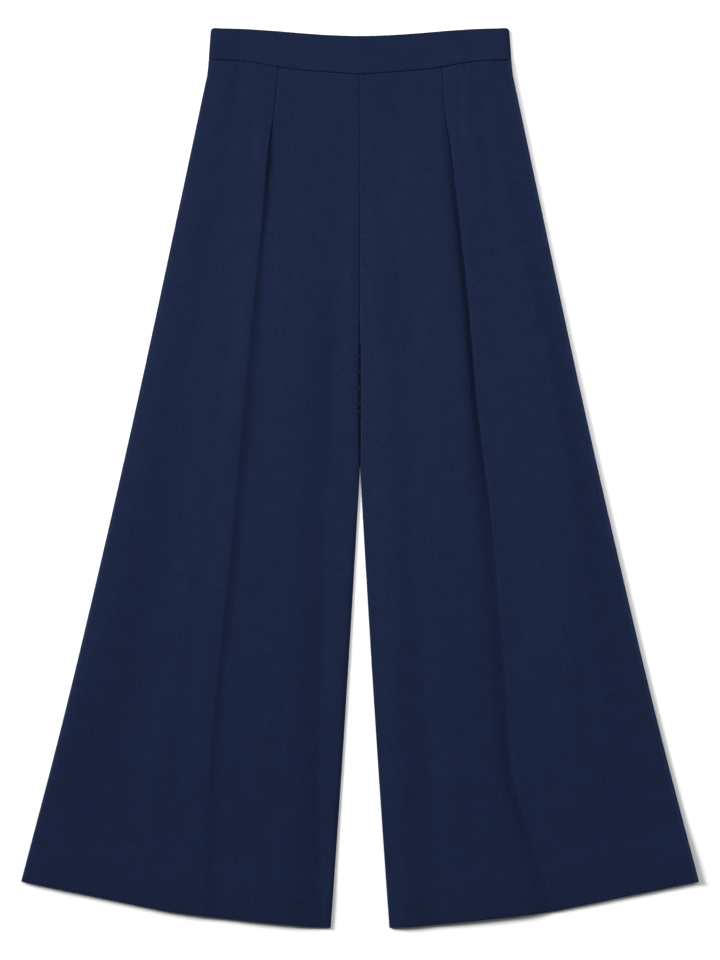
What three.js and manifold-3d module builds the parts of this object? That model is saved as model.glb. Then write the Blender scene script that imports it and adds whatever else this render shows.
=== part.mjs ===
// Wide-leg trousers laid flat on their back: two pleated front panels, two back panels, a shaped waistband in three
// pieces, and the slider and pull of the zip that closes the centre back seam.
// Millimetres. +X to the wearer's left, +Y towards the waist, +Z up from the surface that the trousers lie on.
// The origin is on that surface, under the middle of the garment.
import * as THREE from "three";
import { mergeVertices } from "three/addons/utils/BufferGeometryUtils.js";
import Module from "manifold-3d";

// Driving sizes. A drop is measured down the garment from the top of the waistband at the sides, and a distance
// across from the centre line.
const LENGTH = 1050;
const CLOTH = 1.0;
const BAND_CLOTH = 1.3;
const SEAM = 0.3;
const LAYER_GAP = 0.3;
const BAND = { topHalf: 174.2, seamHalf: 176.8, seamDrop: 36.5, dip: 9, dipReach: 163, corner: 3.5 };
const CROTCH_DROP = 309;
const LEG_SPLIT = { drop: 514, spread: 0.0549, bow: 1.66e-5 };
const SIDE_HEM_DROP = 996;

// Heights of the middle of the cloth where a piece rests on what lies under it.
const FRONT_REST = CLOTH + LAYER_GAP + CLOTH / 2;
const BAND_REST = BAND_CLOTH + LAYER_GAP + BAND_CLOTH / 2;

// The side seam's distance from the centre line, from the waistband seam to the hem.
const SIDE_SEAM = [
  { drop: 36.5, half: 176.8 },
  { drop: 53.5, half: 178.4 },
  { drop: 62, half: 180.2 },
  { drop: 200, half: 209.5 },
  { drop: 430, half: 258.9 },
  { drop: 620, half: 302.1 },
  { drop: 810, half: 347.5 },
  { drop: 996, half: 395.8 },
];

// The waistband seam, from the centre to the side.
const WAIST_SEAM = [
  { across: 0, drop: 53.9 },
  { across: 35, drop: 51.2 },
  { across: 70, drop: 48.6 },
  { across: 93, drop: 45.6 },
  { across: 117, drop: 41.2 },
  { across: 146, drop: 37.7 },
  { across: 177, drop: 36.5 },
];

// The hem of one leg, from the inside leg to the side, with its soft corner under the pleat.
const HEM = [
  { across: 34, drop: 1050 },
  { across: 52, drop: 1049.4 },
  { across: 92, drop: 1046 },
  { across: 160, drop: 1039 },
  { across: 228, drop: 1030.4 },
  { across: 250, drop: 1025.9 },
  { across: 396, drop: 996 },
];

// The pleat of each front, one row for each section. The cloth outside the pleat lies over the cloth inside it: it
// turns under at its edge, runs back as the flap and turns again at the foot. It is sewn down to a drop of 98 and
// falls open below that.
const PLEAT = [
  { drop: 45, across: 95.8, turn: 180, edge: 0.65, foot: 0.65, flap: 14 },
  { drop: 98, across: 100, turn: 180, edge: 0.65, foot: 0.65, flap: 13 },
  { drop: 135, across: 104.2, turn: 172, edge: 0.66, foot: 0.66, flap: 6 },
  { drop: 175, across: 108.8, turn: 140, edge: 0.75, foot: 0.8, flap: 1.2 },
  { drop: 230, across: 114.2, turn: 88, edge: 1.2, foot: 1.3, flap: 0.9 },
  { drop: 320, across: 121.2, turn: 52, edge: 2.2, foot: 3.2, flap: 1.3 },
  { drop: 550, across: 142.5, turn: 32, edge: 4, foot: 7, flap: 2 },
  { drop: 850, across: 172.5, turn: 20, edge: 7, foot: 13, flap: 2.4 },
  { drop: 1040, across: 196, turn: 14, edge: 10, foot: 18, flap: 2.4 },
];

// How far the cloth of each front stands above its rest: at the crest beside the centre seam or inside leg, between
// the thigh fold and the pleat, between the pleat and the side, and at the crest beside the side seam.
const LIFT = [
  { drop: 45, inner: 0.8, middle: 0.9, panel: 1.3, side: 1.7 },
  { drop: 150, inner: 1.1, middle: 1.0, panel: 1.6, side: 2.3 },
  { drop: 300, inner: 2.5, middle: 1.4, panel: 1.7, side: 2.7 },
  { drop: 430, inner: 3.1, middle: 1.6, panel: 1.8, side: 2.9 },
  { drop: 700, inner: 2.8, middle: 1.6, panel: 1.7, side: 2.9 },
  { drop: 1040, inner: 2.0, middle: 1.2, panel: 1.3, side: 2.3 },
];

// The two soft folds of each leg beside the pleat: where the thigh fold lies across, how far the side fold lies in
// from the side seam, and how far the cloth in each stands above its rest.
const FOLDS = {
  right: [
    { drop: 45, thigh: 40, thighLift: 0.8, side: 36, sideLift: 0.9 },
    { drop: 200, thigh: 38, thighLift: 0.9, side: 29, sideLift: 0.6 },
    { drop: 340, thigh: 40, thighLift: 0.4, side: 34, sideLift: 0.5 },
    { drop: 530, thigh: 48, thighLift: 0.2, side: 38, sideLift: 0.6 },
    { drop: 720, thigh: 55, thighLift: 0.1, side: 46, sideLift: 0.6 },
    { drop: 1040, thigh: 64, thighLift: 0.2, side: 40, sideLift: 1.0 },
  ],
  left: [
    { drop: 45, thigh: 40, thighLift: 0.8, side: 21, sideLift: 0.7 },
    { drop: 200, thigh: 36, thighLift: 0.9, side: 20, sideLift: 0.5 },
    { drop: 340, thigh: 40, thighLift: 0.8, side: 22, sideLift: 0.4 },
    { drop: 530, thigh: 43, thighLift: 0.6, side: 25, sideLift: 0.4 },
    { drop: 720, thigh: 56, thighLift: 0.4, side: 30, sideLift: 0.6 },
    { drop: 1040, thigh: 64, thighLift: 0.9, side: 44, sideLift: 1.0 },
  ],
};

// Where a front rolls over to meet its neighbour: how far in its crest lies, and how full its curve is.
const ROLL = { width: 10, fullness: 0.77, seamDip: 0.4 };
// Where the cloth beside a pleat lies level: how far inside the foot, and how far outside the edge.
const PLEAT_LEVEL = { inside: 1, insideLeast: 2.5, outside: 2.5 };
// How far the front waistband stands above its rest: at the centre, beside it, over the pleat, outside the pleat and
// at the crest beside the side seam. Over the pleat it rises towards the seam, within this reach of it.
const BAND_LIFT = { centre: 0.4, beside: 0.3, pleat: 1.5, outside: 0.6, side: 1.3, reach: 30 };
// Below the crotch the fronts roll back a little from the touching backs.
const PARTING = { from: 320, to: 560, width: 1.1 };

// The zip's slider and pull, on the outside of the centre back seam at the top of the waistband. The cloth stands
// clear of them in a low rise.
const ZIP = { drop: 15, pivotHeight: 0.9, pin: 0.3, hole: 0.5, barrel: 0.8, barrelLength: 3.2 };
const PULL = { length: 18, neck: 1.1, tip: 1.8, thickness: 0.9, height: 0.2 };
const SLIDER = { ear: 0.7, earGap: 0.3, earReach: 1.3, plate: 0.5, plateHeight: 1.95 };
const RISE = { height: 2.75, flat: 3.2, reach: 15, flatDrop: 20, endDrop: 50 };

const NAVY = 0x1f2842;
const { lerp, smoothstep, degToRad } = THREE.MathUtils;

// The value of a column at a place along a table, on a smooth curve that never passes its rows.
function read(rows, key, column, place) {
  const next = rows.findIndex((row) => row[key] > place);
  if (next === 0) return rows[0][column];
  if (next === -1) return rows[rows.length - 1][column];
  const rate = (i) => (rows[i + 1][column] - rows[i][column]) / (rows[i + 1][key] - rows[i][key]);
  const slope = (i) => {
    if (i === 0) return rate(0);
    if (i === rows.length - 1) return rate(i - 1);
    const [before, after] = [rate(i - 1), rate(i)];
    return before * after > 0 ? (2 * before * after) / (before + after) : 0;
  };
  const [a, b] = [rows[next - 1], rows[next]];
  const span = b[key] - a[key];
  const t = (place - a[key]) / span;
  const ease = t * t * (3 - 2 * t);
  const start = t * (1 - t) * (1 - t) * span * slope(next - 1);
  const end = t * t * (1 - t) * span * slope(next);
  return lerp(a[column], b[column], ease) + start - end;
}

// The outline.
function bandTopDrop(across) {
  const share = Math.min(across / BAND.dipReach, 1);
  return (BAND.dip * (1 + Math.cos(Math.PI * share))) / 2;
}

function bandHalf(drop) {
  const inCorner = Math.max(BAND.corner - drop, 0);
  const cut = BAND.corner - Math.sqrt(BAND.corner ** 2 - inCorner ** 2);
  return lerp(BAND.topHalf, BAND.seamHalf, Math.min(drop / BAND.seamDrop, 1)) - cut;
}

function sideSeam(drop) {
  return read(SIDE_SEAM, "drop", "half", drop);
}

function innerEdge(drop) {
  const below = Math.max(drop - LEG_SPLIT.drop, 0);
  return SEAM / 2 + LEG_SPLIT.spread * below + LEG_SPLIT.bow * below * below;
}

function frontParting(drop) {
  const share = THREE.MathUtils.clamp((drop - PARTING.from) / (PARTING.to - PARTING.from), 0, 1);
  return PARTING.width * Math.sin(Math.PI * share) ** 2;
}

// A row of a panel runs from the inside edge to the side seam, at a share of the way from the waistband seam to the
// hem. Its drop at a distance across lies between those of the two curves.
function panelRow(share) {
  const centreDrop = lerp(WAIST_SEAM[0].drop, LENGTH, share) + (1 - share) * (SEAM / 2);
  const sideDrop = lerp(BAND.seamDrop, SIDE_HEM_DROP, share) + (1 - share) * (SEAM / 2);
  const inner = innerEdge(centreDrop);
  const side = sideSeam(sideDrop);
  const dropAt = (across) => {
    const fraction = THREE.MathUtils.clamp((across - inner) / (side - inner), 0, 1);
    const waist = read(WAIST_SEAM, "across", "drop", fraction * BAND.seamHalf) + SEAM / 2;
    const hem = read(HEM, "across", "drop", lerp(innerEdge(LENGTH), sideSeam(SIDE_HEM_DROP), fraction));
    return lerp(waist, hem, share);
  };
  return { inner, side, centreDrop, sideDrop, middleDrop: (centreDrop + sideDrop) / 2, dropAt };
}

// Adds points to a section, from its last point to a crest or a trough, level at both.
function easeTo(section, across, height, steps) {
  const from = section[section.length - 1];
  for (let i = 1; i <= steps; i++) {
    const t = i / steps;
    section.push({ across: lerp(from.across, across, t), height: lerp(from.height, height, t * t * (3 - 2 * t)) });
  }
}

// The points of a roll from its standing edge up to its crest.
function rollUp(edge, foot, crestAcross, crest, steps) {
  return Array.from({ length: steps + 1 }, (_, i) => {
    const angle = (i / steps) * (Math.PI / 2);
    return {
      across: lerp(crestAcross, edge, Math.cos(angle) ** ROLL.fullness),
      height: lerp(foot, crest, Math.sin(angle) ** ROLL.fullness),
    };
  });
}

// Adds the pleat's foot, flap and edge to a section that arrives from the inside of the leg.
function addPleat(section, drop) {
  const at = (column) => read(PLEAT, "drop", column, drop);
  const [turn, edge, foot, flap] = [degToRad(at("turn")), at("edge"), at("foot"), at("flap")];
  const top = FRONT_REST + (edge + foot) * (1 - Math.cos(turn)) + flap * Math.sin(turn);
  const edgeEnd = at("across") + edge * Math.sin(Math.min(turn, Math.PI / 2)) + CLOTH / 2;
  const footStart = edgeEnd - edge * Math.sin(turn) - flap * Math.cos(turn) - foot * Math.sin(turn);
  const levelFrom = Math.min(footStart - PLEAT_LEVEL.inside, at("across") - PLEAT_LEVEL.insideLeast);
  easeTo(section, levelFrom, FRONT_REST, 3);
  const steps = 5;
  for (let i = 0; i <= steps; i++) {
    const angle = (turn * i) / steps;
    section.push({
      across: footStart + foot * Math.sin(angle),
      height: FRONT_REST + foot * (1 - Math.cos(angle)),
    });
  }
  for (let i = steps; i >= 0; i--) {
    const angle = (turn * i) / steps;
    section.push({ across: edgeEnd - edge * Math.sin(angle), height: top - edge * (1 - Math.cos(angle)) });
  }
  section.push({ across: Math.max(edgeEnd, footStart + foot) + PLEAT_LEVEL.outside, height: top });
}

// One section of a front panel, along the middle of its cloth, from the inside edge to the side seam.
function frontSection(row, folds) {
  const lift = (column) => FRONT_REST + read(LIFT, "drop", column, row.middleDrop);
  const fold = (column) => read(folds, "drop", column, row.middleDrop);
  const foot = CLOTH + LAYER_GAP;
  const edge = row.inner + frontParting(row.centreDrop) + CLOTH / 2;
  const innerFoot = lerp(lift("inner") - ROLL.seamDip, foot, smoothstep(row.centreDrop, BAND.seamDrop, CROTCH_DROP));
  const section = rollUp(edge, innerFoot, edge + ROLL.width, lift("inner"), 4);
  easeTo(section, row.inner + fold("thigh") - innerEdge(row.middleDrop), FRONT_REST + fold("thighLift"), 3);
  const pleatAcross = read(PLEAT, "drop", "across", row.middleDrop);
  easeTo(section, (section[section.length - 1].across + pleatAcross) / 2, lift("middle"), 3);
  addPleat(section, row.middleDrop);
  const dip = row.side - fold("side");
  easeTo(section, (section[section.length - 1].across + dip) / 2, lift("panel"), 3);
  easeTo(section, dip, FRONT_REST + fold("sideLift"), 3);
  const sideEdge = row.side - CLOTH / 2;
  easeTo(section, sideEdge - ROLL.width, lift("side"), 2);
  const roll = rollUp(sideEdge, foot, sideEdge - ROLL.width, lift("side"), 4).reverse();
  return section.concat(roll.slice(1));
}

// The direction out of the cloth at a point of a section. Both ends of a section stand upright.
function outward(section, i) {
  if (i === 0) return { across: -1, height: 0 };
  if (i === section.length - 1) return { across: 1, height: 0 };
  const [before, after] = [section[i - 1], section[i + 1]];
  const [run, rise] = [after.across - before.across, after.height - before.height];
  const length = Math.hypot(run, rise);
  return { across: -rise / length, height: run / length };
}

// A closed wall of cloth, bent from a flat box: point(column, row, face) gives each of its places, with columns
// towards +X, rows towards +Y and face 1 on top or 0 underneath.
function clothWall(columns, rows, point) {
  const wall = new THREE.BoxGeometry(1, 1, 1, columns, rows, 1);
  const places = wall.attributes.position;
  for (let i = 0; i < places.count; i++) {
    const column = Math.round((places.getX(i) + 0.5) * columns);
    const row = Math.round((places.getY(i) + 0.5) * rows);
    places.setXYZ(i, ...point(column, row, places.getZ(i) > 0 ? 1 : 0));
  }
  wall.computeVertexNormals();
  return wall;
}

const toY = (drop) => LENGTH / 2 - drop;

// Rows lie closer together towards the waist, where the pleat changes fastest.
const PANEL_ROWS = 24;
const rowShare = (row) => (1 - row / PANEL_ROWS) ** 1.5;

// A front panel. Leg is 1 for the wearer's left and -1 for the right.
function frontPanel(leg, folds) {
  const rows = Array.from({ length: PANEL_ROWS + 1 }, (_, i) => panelRow(rowShare(i)));
  const sections = rows.map((row) => frontSection(row, folds));
  const columns = sections[0].length - 1;
  return clothWall(columns, PANEL_ROWS, (column, row, face) => {
    const section = sections[row];
    const i = leg > 0 ? column : columns - column;
    const out = outward(section, i);
    const half = (face - 0.5) * CLOTH;
    const across = section[i].across + out.across * half;
    return [leg * across, toY(rows[row].dropAt(section[i].across)), section[i].height + out.height * half];
  });
}

// A back panel lies flat on the surface.
function backPanel(leg) {
  const columns = 8;
  return clothWall(columns, PANEL_ROWS, (column, row, face) => {
    const line = panelRow(rowShare(row));
    const across = lerp(line.inner, line.side, (leg > 0 ? column : columns - column) / columns);
    return [leg * across, toY(line.dropAt(across)), face * CLOTH];
  });
}

// How far the waistband stands up over the zip's slider and pull.
function zipRise(across, drop) {
  const sideways = 1 - smoothstep(Math.abs(across), RISE.flat, RISE.reach);
  return RISE.height * sideways * (1 - smoothstep(drop, RISE.flatDrop, RISE.endDrop));
}

// Rows of the waistband, as shares of the way down it: close together at the rounded top corners.
const BAND_ROWS = [1, 0.86, 0.7, 0.54, 0.38, 0.22, 0.09, 0.03, 0];

function bandDrop(across, share) {
  const seam = read(WAIST_SEAM, "across", "drop", across) - SEAM / 2;
  return lerp(bandTopDrop(across), seam, share);
}

// Half a section of the front waistband, from the centre to the side. It rides up a little over the pleat's layers.
function bandSection(share) {
  const edge = bandHalf(lerp(0, BAND.seamDrop, share)) - BAND_CLOTH / 2;
  const pleat = PLEAT[0].across + PLEAT[0].flap / 2;
  const lift = (column) => BAND_REST + BAND_LIFT[column];
  const section = [{ across: 0, height: lift("centre") }];
  easeTo(section, RISE.reach, lift("centre"), 5);
  easeTo(section, pleat - BAND_LIFT.reach, lift("beside"), 2);
  easeTo(section, pleat, lerp(lift("beside"), lift("pleat"), share), 4);
  easeTo(section, pleat + BAND_LIFT.reach, lerp(lift("beside"), lift("outside"), share), 4);
  easeTo(section, edge - ROLL.width, lift("side"), 3);
  const roll = rollUp(edge, BAND_CLOTH + LAYER_GAP, edge - ROLL.width, lift("side"), 4).reverse();
  return section.concat(roll.slice(1));
}

function frontBand() {
  const halves = BAND_ROWS.map(bandSection);
  const middle = halves[0].length - 1;
  return clothWall(2 * middle, BAND_ROWS.length - 1, (column, row, face) => {
    const i = Math.abs(column - middle);
    const section = halves[row];
    const out = i === 0 ? { across: 0, height: 1 } : outward(section, i);
    const half = (face - 0.5) * BAND_CLOTH;
    const drop = bandDrop(section[i].across, BAND_ROWS[row]);
    const across = section[i].across + out.across * half;
    const height = section[i].height + out.height * half + zipRise(section[i].across, drop);
    return [Math.sign(column - middle) * across, toY(drop), height];
  });
}

// Half of the back waistband, flat but for the rise over the zip.
function backBand(leg) {
  const columns = 22;
  return clothWall(columns, BAND_ROWS.length - 1, (column, row, face) => {
    const share = BAND_ROWS[row];
    const half = bandHalf(lerp(0, BAND.seamDrop, share));
    const fraction = ((leg > 0 ? column : columns - column) / columns) ** 1.8;
    const across = lerp(SEAM / 2, half, fraction);
    const drop = bandDrop(across, share);
    return [leg * across, toY(drop), face * BAND_CLOTH + zipRise(across, drop)];
  });
}

// The zip's hard pieces.
const wasm = await Module();
wasm.setup();

function solid(geometry) {
  const bare = geometry.clone();
  bare.deleteAttribute("normal");
  bare.deleteAttribute("uv");
  const merged = mergeVertices(bare);
  const triVerts = new Uint32Array(merged.index.array);
  return new wasm.Manifold(new wasm.Mesh({ numProp: 3, vertProperties: merged.attributes.position.array, triVerts }));
}

function geometryOf(made) {
  const mesh = made.getMesh();
  const geometry = new THREE.BufferGeometry();
  geometry.setAttribute("position", new THREE.BufferAttribute(mesh.vertProperties, 3));
  geometry.setIndex(new THREE.BufferAttribute(mesh.triVerts, 1));
  geometry.computeVertexNormals();
  return geometry;
}

// A rod along X through the pull's pivot.
function crossRod(radius, length) {
  const rod = new THREE.CylinderGeometry(radius, radius, length, 20);
  return rod.rotateZ(Math.PI / 2);
}

// The slider's outside: a plate on the seam with two ears, and the pin between them. Its own origin is the pivot.
function sliderGeometry() {
  const inside = ZIP.barrelLength / 2 + SLIDER.earGap;
  const width = 2 * (inside + SLIDER.ear);
  const plateTop = SLIDER.plateHeight + SLIDER.plate - ZIP.pivotHeight;
  const plate = new THREE.BoxGeometry(width, 4 * SLIDER.earReach, SLIDER.plate);
  plate.translate(0, 0, plateTop - SLIDER.plate / 2);
  let made = solid(plate).add(solid(crossRod(ZIP.pin, width - 0.2)));
  for (const side of [-1, 1]) {
    const outline = new THREE.Shape();
    outline.absarc(0, 0, ZIP.barrel * 0.85, Math.PI, 2 * Math.PI);
    outline.lineTo(SLIDER.earReach, plateTop - SLIDER.plate / 2);
    outline.lineTo(-SLIDER.earReach, plateTop - SLIDER.plate / 2);
    const ear = new THREE.ExtrudeGeometry(outline, { depth: SLIDER.ear, bevelEnabled: false, curveSegments: 10 });
    ear.rotateY(Math.PI / 2).rotateX(Math.PI / 2);
    ear.translate(side > 0 ? inside : -inside - SLIDER.ear, 0, 0);
    made = made.add(solid(ear));
  }
  return geometryOf(made);
}

// The pull: a barrel round the pin and a flat drop-shaped tab. Its own origin is the pivot.
function pullGeometry() {
  const outline = new THREE.Shape();
  outline.moveTo(-PULL.neck, -ZIP.hole);
  outline.lineTo(-PULL.tip, PULL.tip - PULL.length);
  outline.absarc(0, PULL.tip - PULL.length, PULL.tip, Math.PI, 2 * Math.PI);
  outline.lineTo(PULL.neck, -ZIP.hole);
  const tab = new THREE.ExtrudeGeometry(outline, { depth: PULL.thickness, bevelEnabled: false, curveSegments: 12 });
  tab.translate(0, 0, PULL.height - ZIP.pivotHeight);
  const barrel = solid(crossRod(ZIP.barrel, ZIP.barrelLength));
  return geometryOf(barrel.add(solid(tab)).subtract(solid(crossRod(ZIP.hole, 2 * ZIP.barrelLength))));
}

function piece(name, geometry, material) {
  const mesh = new THREE.Mesh(geometry, material);
  mesh.name = name;
  return mesh;
}

const crepe = new THREE.MeshStandardMaterial({ color: NAVY, roughness: 0.85, metalness: 0 });
const enamelledMetal = new THREE.MeshStandardMaterial({ color: 0x1a2138, roughness: 0.4, metalness: 0.3 });

const trousers = new THREE.Group();
trousers.add(
  piece("front_left", frontPanel(1, FOLDS.left), crepe),
  piece("front_right", frontPanel(-1, FOLDS.right), crepe),
  piece("back_left", backPanel(1), crepe),
  piece("back_right", backPanel(-1), crepe),
  piece("waistband_front", frontBand(), crepe),
  piece("waistband_back_left", backBand(1), crepe),
  piece("waistband_back_right", backBand(-1), crepe),
);

const zip = new THREE.Group();
zip.position.set(0, toY(ZIP.drop), ZIP.pivotHeight);
zip.add(piece("zip_slider", sliderGeometry(), enamelledMetal), piece("zip_pull", pullGeometry(), enamelledMetal));
trousers.add(zip);

export default trousers;
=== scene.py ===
import math

import bmesh
import bpy
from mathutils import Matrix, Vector, noise


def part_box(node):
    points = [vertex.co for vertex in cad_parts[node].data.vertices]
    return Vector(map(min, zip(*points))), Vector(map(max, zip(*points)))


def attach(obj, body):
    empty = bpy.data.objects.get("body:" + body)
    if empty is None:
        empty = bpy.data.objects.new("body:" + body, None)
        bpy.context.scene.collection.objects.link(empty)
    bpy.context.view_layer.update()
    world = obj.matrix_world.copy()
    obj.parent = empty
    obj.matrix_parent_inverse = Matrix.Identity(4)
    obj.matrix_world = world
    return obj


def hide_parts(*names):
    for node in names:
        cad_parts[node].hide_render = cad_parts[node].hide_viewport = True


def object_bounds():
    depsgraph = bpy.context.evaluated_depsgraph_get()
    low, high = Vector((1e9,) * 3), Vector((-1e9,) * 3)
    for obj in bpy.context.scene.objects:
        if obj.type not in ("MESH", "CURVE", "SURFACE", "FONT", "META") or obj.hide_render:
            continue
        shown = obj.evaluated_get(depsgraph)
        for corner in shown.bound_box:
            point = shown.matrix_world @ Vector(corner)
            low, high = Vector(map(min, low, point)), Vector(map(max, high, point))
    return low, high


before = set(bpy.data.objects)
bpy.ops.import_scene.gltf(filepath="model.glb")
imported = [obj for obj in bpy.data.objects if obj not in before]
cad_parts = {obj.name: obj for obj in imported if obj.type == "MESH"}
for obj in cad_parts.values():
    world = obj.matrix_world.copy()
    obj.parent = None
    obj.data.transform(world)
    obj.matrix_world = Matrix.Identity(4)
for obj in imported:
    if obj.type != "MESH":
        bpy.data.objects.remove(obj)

bl_info = {
    "name": "Wide-leg trousers",
    "version": (1, 0, 0),
    "blender": (4, 5, 0),
    "location": "3D View > Sidebar > Trousers",
    "description": "Makes pleated wide-leg trousers of navy crepe, laid flat",
    "category": "Object",
}

MM = 0.001
CAD_LOW, CAD_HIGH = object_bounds()
BODY = "garment"
SIDES = {1: "left", -1: "right"}
LENGTH = (CAD_HIGH.y - CAD_LOW.y) / MM
TOP = CAD_HIGH.y / MM
# The walls of the CAD panels and waistband, the gap between pieces at a seam, and the gap between layers.
PANEL_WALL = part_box("back_left")[1].z / MM
BAND_WALL = 1.3
SEAM = 0.1
LAYER_GAP = 0.3
# The waistband: half its width at the top and at the seam, its depth at the side, how its top edge dips
# towards the centre, its rounded corner, and how wide it rolls over at the side.
BAND = {
    "top_half": 174.2,
    "seam_half": 176.8,
    "seam_drop": 36.5,
    "dip": 9,
    "dip_reach": 163,
    "corner": 3.5,
    "roll": 8,
}
# The crotch, how the legs part below it, and where the hem meets the side seam.
CROTCH_DROP = 309
LEG_SPLIT = {"drop": 514, "spread": 0.0549, "bow": 1.66e-5}
SIDE_HEM_DROP = 996

# Heights of the middle of the cloth where a front and the front waistband rest on what lies under them.
FRONT_REST = PANEL_WALL + LAYER_GAP + PANEL_WALL / 2
BAND_REST = BAND_WALL + LAYER_GAP + BAND_WALL / 2


def table(columns, *rows):
    """Rows of numbers with named columns."""
    names = columns.split()
    return [dict(zip(names, row)) for row in rows]


# The side seam's distance from the centre line.
SIDE_SEAM = table(
    "drop half",
    (36.5, 176.8),
    (53.5, 178.4),
    (62, 180.2),
    (200, 209.5),
    (430, 258.9),
    (620, 302.1),
    (810, 347.5),
    (996, 395.8),
)

# The waistband seam, from the centre to the side.
WAIST_SEAM = table(
    "across drop",
    (0, 53.9),
    (35, 51.2),
    (70, 48.6),
    (93, 45.6),
    (117, 41.2),
    (146, 37.7),
    (177, 36.5),
)

# The hem of one leg, from the inside leg to the side, with its soft corner under the pleat.
HEM = table(
    "across drop",
    (34, 1050),
    (52, 1049.4),
    (92, 1046),
    (160, 1039),
    (228, 1030.4),
    (250, 1025.9),
    (396, 996),
)

# How far the front waistband stands above its rest, along its upper and its lower edge.
BAND_FORM = table(
    "across upper lower",
    (0, 0.4, 0.4),
    (15, 0.4, 0.4),
    (73, 0.3, 0.3),
    (103, 0.3, 1.5),
    (133, 0.3, 0.6),
    (168, 1.3, 1.3),
)

# The pleat of each front: where its edge lies across, how far the cloth turns, its bend radius at the
# edge and at the foot, the flap's width, how high the cloth beside the flap stands above the foot, and
# over what width it comes down.
PLEAT_COLUMNS = "drop across turn edge foot flap hug step"
PLEAT = {
    -1: table(
        PLEAT_COLUMNS,
        (45, 95.8, 180, 0.3, 0.3, 14, 0.85, 0.5),
        (98, 101.2, 180, 0.3, 0.3, 13, 0.75, 0.5),
        (135, 106.6, 172, 0.4, 0.5, 6, 0.2, 0.5),
        (175, 110.2, 110, 0.7, 1.0, 0.6, 0, 0.5),
        (218, 113.2, 50, 2, 4.6, 0.5, 0, 0.5),
        (259, 117.4, 30, 3, 12, 0.6, 0, 0.5),
        (320, 123.2, 22, 7, 27, 0.6, 0, 0.5),
        (434, 133.6, 18, 13, 42, 0.8, 0, 0.5),
        (600, 149, 15.5, 12, 44, 0.8, 0, 0.5),
        (850, 173.5, 10, 16, 54, 1, 0, 0.5),
        (950, 177, 6.5, 40, 90, 1, 0, 0.5),
        (1040, 178, 5, 60, 110, 1, 0, 0.5),
    ),
    1: table(
        PLEAT_COLUMNS,
        (45, 95.8, 180, 0.3, 0.3, 14, 0.85, 0.5),
        (98, 99.6, 180, 0.3, 0.3, 13, 0.75, 0.5),
        (135, 105.6, 172, 0.4, 0.45, 5, 0.7, 1.5),
        (175, 110.6, 150, 0.45, 0.65, 3, 0.5, 1.5),
        (230, 117.4, 135, 0.6, 1.1, 2.2, 0, 0.5),
        (320, 127.4, 120, 0.9, 1.4, 1.9, 0, 0.5),
        (434, 137.6, 118, 0.9, 1.5, 1.9, 0, 0.5),
        (550, 152, 112, 0.6, 1, 0.9, 0, 0.5),
        (625, 160.5, 90, 0.35, 0.45, 0.1, 0, 0.5),
        (680, 165.5, 45, 0.4, 0.6, 0, 0, 0.5),
        (720, 169.5, 18, 1, 2, 0, 0, 0.5),
        (762, 173, 8, 4, 8, 0.2, 0, 0.5),
        (850, 180, 6, 8, 16, 0.6, 0, 0.5),
        (925, 200, 5, 14, 22, 1, 0, 0.5),
        (984, 219, 5, 18, 28, 1, 0, 0.5),
        (1040, 232, 5, 20, 32, 1, 0, 0.5),
    ),
}

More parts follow.
